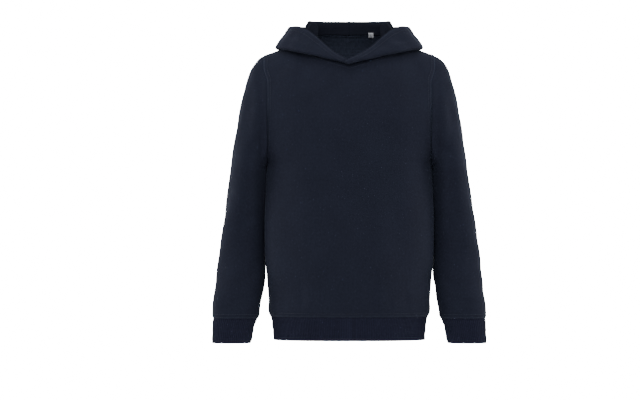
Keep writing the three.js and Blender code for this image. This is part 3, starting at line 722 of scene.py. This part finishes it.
def bodyPiece(name, side, node, look):
    points, onSide = panelGrid(side)
    if side > 0:
        points, onSide = points[::-1], onSide[::-1]
    normals = bodyNormals(side, points)
    normals[onSide, 1] = 0
    normals[:, 0, 2] = 0
    normals = unit(normals)
    across, up = gridWays(points)
    columns = len(points)
    onNeck = ~onSide[:, -1]
    armhole = np.nonzero(~onSide[0])[0][1:]
    toArmhole = np.minimum(distanceTo(points, points[0, armhole]),
                           distanceTo(points, points[-1, armhole]))
    toNeck = distanceTo(points, points[onNeck, -1])
    toShoulder = distanceTo(points, points[~onNeck, -1])
    x, z = points[..., 0], points[..., 2]
    toSide = np.minimum(across, across[-1:] - across)
    toSide[z > cut["armpitHeight"]] = farAway
    nearest = np.minimum.reduce([toArmhole, toNeck, toShoulder, toSide, up])
    creases = creaseField(x, z, look["creases"])
    field = creases + slowWaves(x, z, look["waveSize"], look["waves"], look["wavePhase"])
    field *= smoothStep(nearest, 0, look["fade"])
    field += creases * np.exp(-(up / 8) ** 2) * 0.25
    field += seamField(toArmhole, True) + seamField(toNeck, True) + seamField(up, True)
    field += seamField(toShoulder, side > 0) + seamField(toSide, False)
    outer = points + normals * field[..., None]
    wall = clothWall(outer, look["thickness"], normals=normals)
    centred = across - across[columns // 2][None, :]
    # Paler beside the armhole, hem and side seams: rub wear and a painted highlight on the seam
    # edges
    wearAndHighlight = seamWearAndHighlight(toArmhole) + 0.4 * seamWearAndHighlight(np.minimum(up, toSide))
    piece = toPiece(name, wall, np.stack([centred, up], -1), wearAndHighlight, [brushedJersey, loopedJerseyPaintedLight])
    declare(piece, node)
    for distance in seamLook["rows"]:
        for way in (1, -1):
            lines = outer[::way, armhole].transpose(1, 0, 2)
            outwards = normals[::way, armhole].transpose(1, 0, 2)
            sewAlong("armholeStitches", *insetLine(lines, outwards, distance))
        sewAlong("hemStitches", *insetLine(outer, normals, distance))
        inNeck = np.abs(x[:, -1]) < 0.94 * cut["neckHalf"]
        top = outer[inNeck][:, ::-1], normals[inNeck][:, ::-1]
        sewAlong("neckStitches", *insetLine(*top, distance))
        if side > 0:
            for half in (x[:, -1] > 0, x[:, -1] < 0):
                edge = outer[~onNeck & half][:, ::-1], normals[~onNeck & half][:, ::-1]
                sewAlong("shoulderStitches", *insetLine(*edge, distance))


bodyPiece("frontPanel", -1, "front", frontLook)
bodyPiece("backPanel", 1, "back", backLook)
print("panels made")

# The sleeves, each with its own creases, given with x counted outwards from the body
sleeveLook = {
    "thickness": 2.0, "waves": 0.8, "waveSize": 80, "fade": 22, "towardsBody": 2.4,
    "underarmRow": 40, "flat": (0.3, 0.39), "area": 0.085,
    "right": {
        "phase": 0.7,
        "front": [
            (131, 405, 129, 190, -3, 6.5, 3.0), (150, 398, 153, 300, -3, 8.0, 1.5),
            (126, 306, 154, 262, 4, 7.0, 1.1),
            (128, 202, 162, 174, -4, 6.0, 1.3), (127, 172, 152, 156, 2, 5.0, 0.9),
            (190, 226, 166, 206, -3, 6.0, 0.8), (199, 116, 174, 88, 4, 7.0, 1.0),
            (138, 66, 190, 58, -4, 5.0, 1.2), (150, 49, 198, 46, 2, 3.6, 0.9),
            (186, 66, 184, 38, 1, 6.0, 1.1), (140, 120, 150, 84, -3, 7.0, 0.8),
        ],
        "back": [
            (130, 360, 162, 318, 4, 8.0, 1.3), (128, 236, 172, 214, -4, 7.0, 1.4),
            (130, 206, 176, 198, 3, 6.0, 1.2), (134, 120, 178, 96, -4, 7.0, 1.0),
            (142, 62, 194, 56, 3, 5.0, 1.1), (150, 46, 190, 45, 1, 3.6, 0.8),
        ],
    },
    "left": {
        "phase": 2.3,
        "front": [
            (131, 402, 129, 180, -2, 6.5, 2.8), (140, 404, 144, 370, 2, 6.0, 1.3),
            (148, 358, 151, 298, 3, 7.5, 1.5),
            (125, 300, 162, 274, -4, 7.0, 1.4), (130, 190, 154, 162, 3, 6.0, 1.1),
            (171, 176, 167, 118, -3, 8.0, 1.0), (134, 94, 162, 72, 3, 6.0, 1.2),
            (144, 60, 198, 55, -3, 5.0, 1.1), (140, 45, 178, 43, 1, 3.6, 0.8),
            (192, 140, 178, 104, -3, 6.0, 0.8),
        ],
        "back": [
            (128, 352, 160, 322, -3, 8.0, 1.2), (130, 244, 174, 228, 4, 7.0, 1.3),
            (128, 214, 170, 190, -3, 6.0, 1.3), (136, 132, 176, 118, 3, 7.0, 1.0),
            (140, 66, 188, 60, -3, 5.0, 1.1), (152, 48, 196, 46, 1, 3.6, 0.8),
        ],
    },
}


def sleevePiece(side, mirrored):
    look = sleeveLook
    points = sleeveGrid()
    normals = gridNormals(points, True)
    across, up = gridWays(points)
    toArmhole = up[:, -1:] - up
    x, z = points[..., 0], points[..., 2]
    facing = normals[..., 1]
    field = slowWaves(x, z + points[..., 1], look["waveSize"], look["waves"],
                      look[side]["phase"])
    field += creaseField(x, z, look[side]["front"]) * smoothStep(-facing, 0.05, 0.5)
    field += creaseField(x, z, look[side]["back"]) * smoothStep(facing, 0.05, 0.5)
    field *= smoothStep(np.minimum(toArmhole, up * 3), 0, look["fade"])
    inwards = smoothStep(-normals[..., 0], 0.1, 0.7) * smoothStep(z, 130, 215)
    field += (look["towardsBody"] - field) * inwards * smoothStep(toArmhole, 0, 4)
    underarm = np.argmin(normals[:, look["underarmRow"], 0])
    toUnderarm = distanceTo(points, points[underarm, ::2])
    field += seamField(toArmhole, False) + seamField(up, True) + 0.7 * seamField(toUnderarm, False)
    outer = points + normals * field[..., None]
    wall = clothWall(outer, look["thickness"], around=True, normals=normals)
    # Paler beside the cuff and armhole seams: rub wear and a painted highlight on the seam edges
    wearAndHighlight = 0.5 * seamWearAndHighlight(up) + 0.3 * seamWearAndHighlight(toArmhole)
    piece = toPiece(side + "Sleeve", wall, np.stack([across, up], -1), wearAndHighlight,
                    [brushedJersey, loopedJerseyPaintedLight], mirrored)
    declare(piece, "sleeve_" + side)
    closed = [0, *range(len(outer))]
    for distance in seamLook["rows"]:
        sewAlong("cuffStitches", *insetLine(outer[closed], normals[closed], distance), mirrored)


# Each half of the hood: the creases of its turned-down side, seen from the front, and of its
# pouch behind, and the hem along its rim
hoodLook = {
    "thickness": 2.2, "waves": 0.6, "flat": (0.3, 0.27), "area": 0.05,
    "fallenKnots": (4.9, 5.6), "behindFrom": (10, 35), "hemPuff": 0.5,
    "hem": {"width": 11.0, "height": 0.8, "rows": (1.8, 9.0)},
    "right": {
        "phase": 0.2,
        "side": [
            (93, 455, 62, 441, -3, 3.6, 1.3), (88, 440, 56, 432, 2, 4.0, 0.9),
            (34, 422, 78, 433, 3, 4.5, 0.8), (64, 462, 74, 446, 2, 3.0, 0.8),
        ],
        "pouch": [
            (64, 452, 20, 345, 10, 9.0, 2.0), (84, 440, 36, 380, 6, 7.0, 1.6),
            (34, 455, 8, 372, 5, 8.0, 1.4), (70, 415, 26, 322, -6, 8.0, 1.5),
        ],
    },
    "left": {
        "phase": 1.1,
        "side": [
            (89, 452, 60, 447, 3, 3.6, 1.2), (92, 438, 64, 429, -2, 4.0, 0.8),
            (30, 420, 70, 430, -3, 4.5, 0.9), (54, 460, 66, 449, 2, 3.0, 0.7),
        ],
        "pouch": [
            (58, 455, 14, 356, -8, 9.0, 1.8), (88, 436, 44, 372, 7, 7.0, 1.7),
            (26, 450, 5, 392, -4, 7.0, 1.2), (76, 408, 30, 330, 6, 8.0, 1.6),
        ],
    },
}


def hoodPiece(side, mirrored):
    look = hoodLook
    points = hoodGrid(side == "left")
    normals = gridNormals(points)
    normals[[0, -1], :, 0] = 0
    normals = unit(normals)
    across, up = gridWays(points)
    toRim = up[:, -1:] - up
    toCentre = across[-1:] - across
    x, y, z = points[..., 0], points[..., 1], points[..., 2]
    knot = np.arange(points.shape[1])[None, :] / hoodShape["stepsPerKnot"]
    fallen = smoothStep(knot, *look["fallenKnots"])
    behind = smoothStep(y, *look["behindFrom"])
    field = creaseField(x, z, look[side]["side"]) * fallen * (1 - behind)
    field += creaseField(x, z, look[side]["pouch"]) * fallen * behind
    field += slowWaves(x + y, z, 60, look["waves"], look[side]["phase"]) * fallen
    field *= smoothStep(toRim, 2, 20) * smoothStep(across, 4, 26) * smoothStep(toCentre, 0, 14)
    hem = look["hem"]
    field += hem["height"] * (1 - smoothStep(toRim, hem["width"] - 1.5, hem["width"] + 0.6))
    for row in hem["rows"]:
        field -= seamLook["groove"] * np.exp(-((toRim - row) / seamLook["grooveWidth"]) ** 2)
    field *= smoothStep(across, 0, 6)
    field += 0.8 * seamField(toCentre, False) + 0.6 * seamField(up, False)
    outer = points + normals * field[..., None]
    thickness = look["thickness"] + look["hemPuff"] * np.maximum(field, 0)
    wall = clothWall(outer, thickness, normals=normals, roundTop=True)
    # Paler along the rim and the middle seam: rub wear and a painted highlight on the hood's edges
    wearAndHighlight = 0.5 * seamWearAndHighlight(toRim - 0.4) + 0.4 * seamWearAndHighlight(toCentre)
    piece = toPiece(side + "Hood", wall, np.stack([across, up], -1), wearAndHighlight,
                    [brushedJersey, hoodInside], mirrored)
    declare(piece, "hood_" + side)
    for distance in hem["rows"]:
        edge = outer[:, ::-1], normals[:, ::-1]
        sewAlong("hoodHemStitches", *insetLine(*edge, distance), mirrored)
    back = outer[::-1, 2:-2].transpose(1, 0, 2), normals[::-1, 2:-2].transpose(1, 0, 2)
    sewAlong("hoodSeamStitches", *insetLine(*back, seamLook["rows"][0]), mirrored)


# The knitted bands: rounded ribs, the height following the cosine of the turn round the band
# times the count of ribs
ribLook = {"thickness": 2.6, "height": 0.4, "stepsPerRib": 6, "cuffRibs": 64, "hemRibs": 230,
           "cuffFlat": (0.16, 0.038), "hemFlat": (0.6, 0.036)}


def ribbedTube(name, points, ribs, node, mirrored=False):
    normals = gridNormals(points, True)
    normals[..., 2] = 0
    normals = unit(normals)
    across, up = gridWays(points)
    turn = across / across[-1:] * 2 * np.pi * (len(points) - 1) / len(points)
    toTop = up[:, -1:] - up
    ribField = ribLook["height"] * (np.cos(turn * ribs) - 1)
    field = ribField + seamField(toTop - seamReach, False)
    field += slowWaves(points[..., 0], points[..., 2] * 2, 46, 0.5, 1.9) * smoothStep(toTop, 0, 12)
    wall = clothWall(points + normals * field[..., None], ribLook["thickness"], around=True,
                     normals=normals, roundBottom=True)
    # Paler on the rib crests and along the bottom edge: rub wear and a painted highlight where the
    # ribs catch light
    wearAndHighlight = 0.3 * smoothStep(ribField, -0.15, 0) + 0.25 * np.exp(-(up / 1.5) ** 2)
    piece = toPiece(name, wall, np.stack([across, up], -1), wearAndHighlight, [ribKnit, ribKnit], mirrored)
    declare(piece, node)


def cuffPiece(side, mirrored):
    count = ribLook["cuffRibs"] * ribLook["stepsPerRib"]
    turn = -np.arange(count) / count * 2 * np.pi
    heights = np.linspace(cut["cuffBottomHeight"], cut["cuffTopHeight"] + seamReach, 22)
    points = ringPoint(cuffSections, heights[None, :], turn[:, None])
    ribbedTube(side + "Cuff", points, ribLook["cuffRibs"], "cuff_" + side,
               mirrored)


def hemPiece():
    count = ribLook["hemRibs"] * ribLook["stepsPerRib"]
    turn = np.arange(count) / count * 2 * np.pi
    heights = np.linspace(0, cut["hemRibHeight"] + seamReach, 20)
    across = np.cos(turn)[:, None]
    share = np.sign(across) * np.abs(across) ** cut["hemSpacing"]
    inFront = np.sin(turn)[:, None] < 0
    reach = np.where(inFront, readTable(hemSections, "front", heights)[None, :],
                     readTable(hemSections, "back", heights)[None, :])
    depth = reach * np.sqrt(1 - np.abs(share) ** cut["hemBoxy"]) * np.where(inFront, -1, 1)
    half = readTable(hemSections, "half", heights)[None, :]
    points = np.stack(np.broadcast_arrays(half * share, depth, heights[None, :]), axis=-1)
    ribbedTube("hemBand", points, ribLook["hemRibs"], "hem_rib")


for side, mirrored in (("left", False), ("right", True)):
    sleevePiece(side, mirrored)
    hoodPiece(side, mirrored)
    cuffPiece(side, mirrored)
hemPiece()
print("sleeves, hood and bands made")

# The bare woven label inside the neck, bowed by half a sine each way, with rounded ends
labelLook = {"left": 29.4, "right": 37.4, "height": 6.4, "above": 5.0, "clear": 1.3,
             "thickness": 0.6, "bow": 0.5, "columns": 33, "rows": 29}


def labelPiece():
    look = labelLook
    x = np.linspace(look["right"], look["left"], look["columns"])[:, None]
    sine = x[:, 0] / cut["neckHalf"]
    top = necklinePoint(180 - np.degrees(np.arcsin(sine)))[:, 2][:, None] + look["above"]
    sideways = np.linspace(0, 1, look["columns"])[:, None]
    share = np.linspace(0, 1, look["rows"])[None, :]
    height = top - look["height"] * (1 - share)
    surface = bodyPoint(1, x, height)
    inwards = -bodyNormals(1, surface)
    bow = look["bow"] * np.sin(np.pi * share) * np.sin(np.pi * sideways)
    depth = backLook["thickness"] + look["clear"] + look["thickness"] + bow
    points = (surface + inwards * depth[..., None])[::-1]
    across, up = gridWays(points)
    wall = clothWall(points, look["thickness"], roundTop=True, roundBottom=True)
    piece = toPiece("sizeLabel", wall, np.stack([across, up], -1), up * 0,
                    [wovenLabel, wovenLabel])
    declare(piece, "size_label")


labelPiece()

# Lock stitches: each a short thread that sinks into the cloth at both ends, its radius the
# root of one less the squared share from its middle. They are drawn a little thicker than
# real thread, so that the rows can be seen from a step away.
stitchLook = {"length": 2.7, "gap": 0.7, "radius": 0.3, "sides": 6, "rings": 7, "sink": 0.12}


def stitchPiece(name, paths):
    look = stitchLook
    places, ways, outs = [], [], []
    for points, normals in paths:
        steps = np.linalg.norm(np.diff(points, axis=0), axis=-1)
        along = np.concatenate([[0], np.cumsum(steps)])
        count = int(along[-1] / (look["length"] + look["gap"]))
        middles = (np.arange(count) + 0.5) * along[-1] / count
        ends = [np.stack([np.interp(middles + shift * look["length"] / 2, along, points[:, k])
                          for k in range(3)], -1) for shift in (-1, 1)]
        places.append((ends[0] + ends[1]) / 2)
        ways.append((ends[1] - ends[0]) / 2)
        outs.append(np.stack([np.interp(middles, along, normals[:, k]) for k in range(3)], -1))
    place, way, out = np.concatenate(places), np.concatenate(ways), unit(np.concatenate(outs))
    sideways = unit(np.cross(way, out))
    t = np.cos(np.linspace(np.pi, 0, look["rings"]))
    radius = look["radius"] * np.sqrt(np.maximum(1 - t ** 2, 0.02))
    turn = np.arange(look["sides"]) / look["sides"] * 2 * np.pi
    rise = look["radius"] * 0.9 * (1 - t ** 2) - look["sink"]
    ring = (place[:, None, None] + way[:, None, None] * t[None, :, None, None]
            + out[:, None, None] * (rise[:, None] + radius[:, None] * np.sin(turn))[..., None]
            + sideways[:, None, None] * (radius[:, None] * np.cos(turn))[..., None])
    rings, sides = look["rings"], look["sides"]
    r, k = np.meshgrid(np.arange(rings - 1), np.arange(sides), indexing="ij")
    after = (k + 1) % sides
    quads = np.stack([r * sides + k, r * sides + after, (r + 1) * sides + after,
                      (r + 1) * sides + k], -1).reshape(-1, 4)
    firsts = np.arange(len(place))[:, None] * rings * sides
    faces = (quads[None] + firsts[..., None]).reshape(-1, 4).tolist()
    faces += (firsts + np.arange(sides)[::-1]).tolist()
    faces += (firsts + np.arange(sides) + (rings - 1) * sides).tolist()
    flat = ring.reshape(-1, 3)
    flat[:, 2] -= holdHeight
    mesh = bpy.data.meshes.new(name)
    mesh.from_pydata((flat / 1000).tolist(), [], faces)
    mesh.polygons.foreach_set("use_smooth", np.ones(len(mesh.polygons), bool))
    mesh.materials.append(sewingThread)
    piece = bpy.data.objects.new(name, mesh)
    bpy.context.scene.collection.objects.link(piece)
    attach(piece, "root")
    return len(place)


stitches = sum(stitchPiece(name, paths) for name, paths in stitchPaths.items())
print("stitches made:", stitches)

# White paper under and behind, and a lit panel that makes the background plain white
stageLook = {"floor": -1.0, "back": 8.6, "front": -9, "half": 9, "bend": 0.4, "top": 4,
             "panelAt": 8.0, "panelHalf": 1.3, "panelHeights": (-0.99, 0.6), "glow": 20.0}
paper, paperShader = newMaterial("whitePaper", 0.95, 0.1, 0)
paperShader.inputs["Base Color"].default_value = colour("#fbfbfb")
panel, panelShader = newMaterial("litPanel", 0.95, 0.1, 0)
panelShader.inputs["Base Color"].default_value = colour("#fbfbfb")
panelShader.inputs["Emission Color"].default_value = colour("#ffffff")
panelShader.inputs["Emission Strength"].default_value = stageLook["glow"]


def stagePiece(name, corners, faces, material):
    mesh = bpy.data.meshes.new(name)
    mesh.from_pydata(corners, [], faces)
    mesh.materials.append(material)
    mesh.polygons.foreach_set("use_smooth", np.ones(len(mesh.polygons), bool))
    sheet = bpy.data.objects.new(name, mesh)
    bpy.context.scene.collection.objects.link(sheet)


def studioPaper():
    look = stageLook
    profile = [(look["front"], look["floor"])]
    for angle in np.linspace(0, np.pi / 2, 24):
        profile.append((look["back"] - look["bend"] + look["bend"] * math.sin(angle),
                        look["floor"] + look["bend"] * (1 - math.cos(angle))))
    profile.append((look["back"], look["top"]))
    corners = [(x, y, z) for y, z in profile for x in (-look["half"], look["half"])]
    faces = [(2 * i, 2 * i + 1, 2 * i + 3, 2 * i + 2) for i in range(len(profile) - 1)]
    stagePiece("studioPaper", corners, faces, paper)
    low, high = look["panelHeights"]
    corners = [(x, look["panelAt"], z) for z in (low, high)
               for x in (-look["panelHalf"], look["panelHalf"])]
    stagePiece("litPanel", corners, [(0, 1, 3, 2)], panel)


studioPaper()


def softLight(name, place, target, size, power):
    light = bpy.data.lights.new(name, "AREA")
    light.shape = "RECTANGLE"
    light.size, light.size_y = size
    light.energy = power
    lamp = bpy.data.objects.new(name, light)
    lamp.location = place
    aim = np.array(target) - np.array(place)
    flat = math.hypot(aim[0], aim[1])
    lamp.rotation_euler = (math.pi / 2 + math.atan2(aim[2], flat), 0,
                           math.atan2(-aim[0], aim[1]))
    bpy.context.scene.collection.objects.link(lamp)


# A broad light from the front, one above, and a strip on each side that draws the edges: each
# one's place, what it points at, its size in metres and its power in watts
lightLook = {
    "frontSoftbox": ((0, -2.4, 1.5), (0, 0, -0.2), (2.2, 1.4), 60),
    "topSoftbox": ((0, -0.5, 1.7), (0, 0, 0), (1.0, 0.8), 16),
    "leftStrip": ((2.0, 0.3, 0.2), (0.1, 0, -0.2), (0.8, 1.8), 32),
    "rightStrip": ((-2.0, 0.3, 0.2), (-0.1, 0, -0.2), (0.8, 1.8), 32),
}
for name, settings in lightLook.items():
    softLight(name, *settings)
roomGlow = 0.9  # the strength of the white light all round
world = bpy.data.worlds.new("studioRoom")
bpy.context.scene.world = world
world.use_nodes = True
background = world.node_tree.nodes["Background"]
background.inputs["Color"].default_value = colour("#ffffff")
background.inputs["Strength"].default_value = roomGlow

# A long lens at the height of the chest, level, as in the photo
cameraLook = {"place": (-0.0438, -6.0, -0.2345), "lens": 225}
camera = bpy.data.objects.new("camera", bpy.data.cameras.new("camera"))
camera.data.sensor_width = 36
camera.data.lens = cameraLook["lens"]
camera.data.clip_end = 30
camera.location = cameraLook["place"]
camera.rotation_euler = (math.pi / 2, 0, 0)
bpy.context.scene.collection.objects.link(camera)
bpy.context.scene.camera = camera
print("stage, lights and camera made")
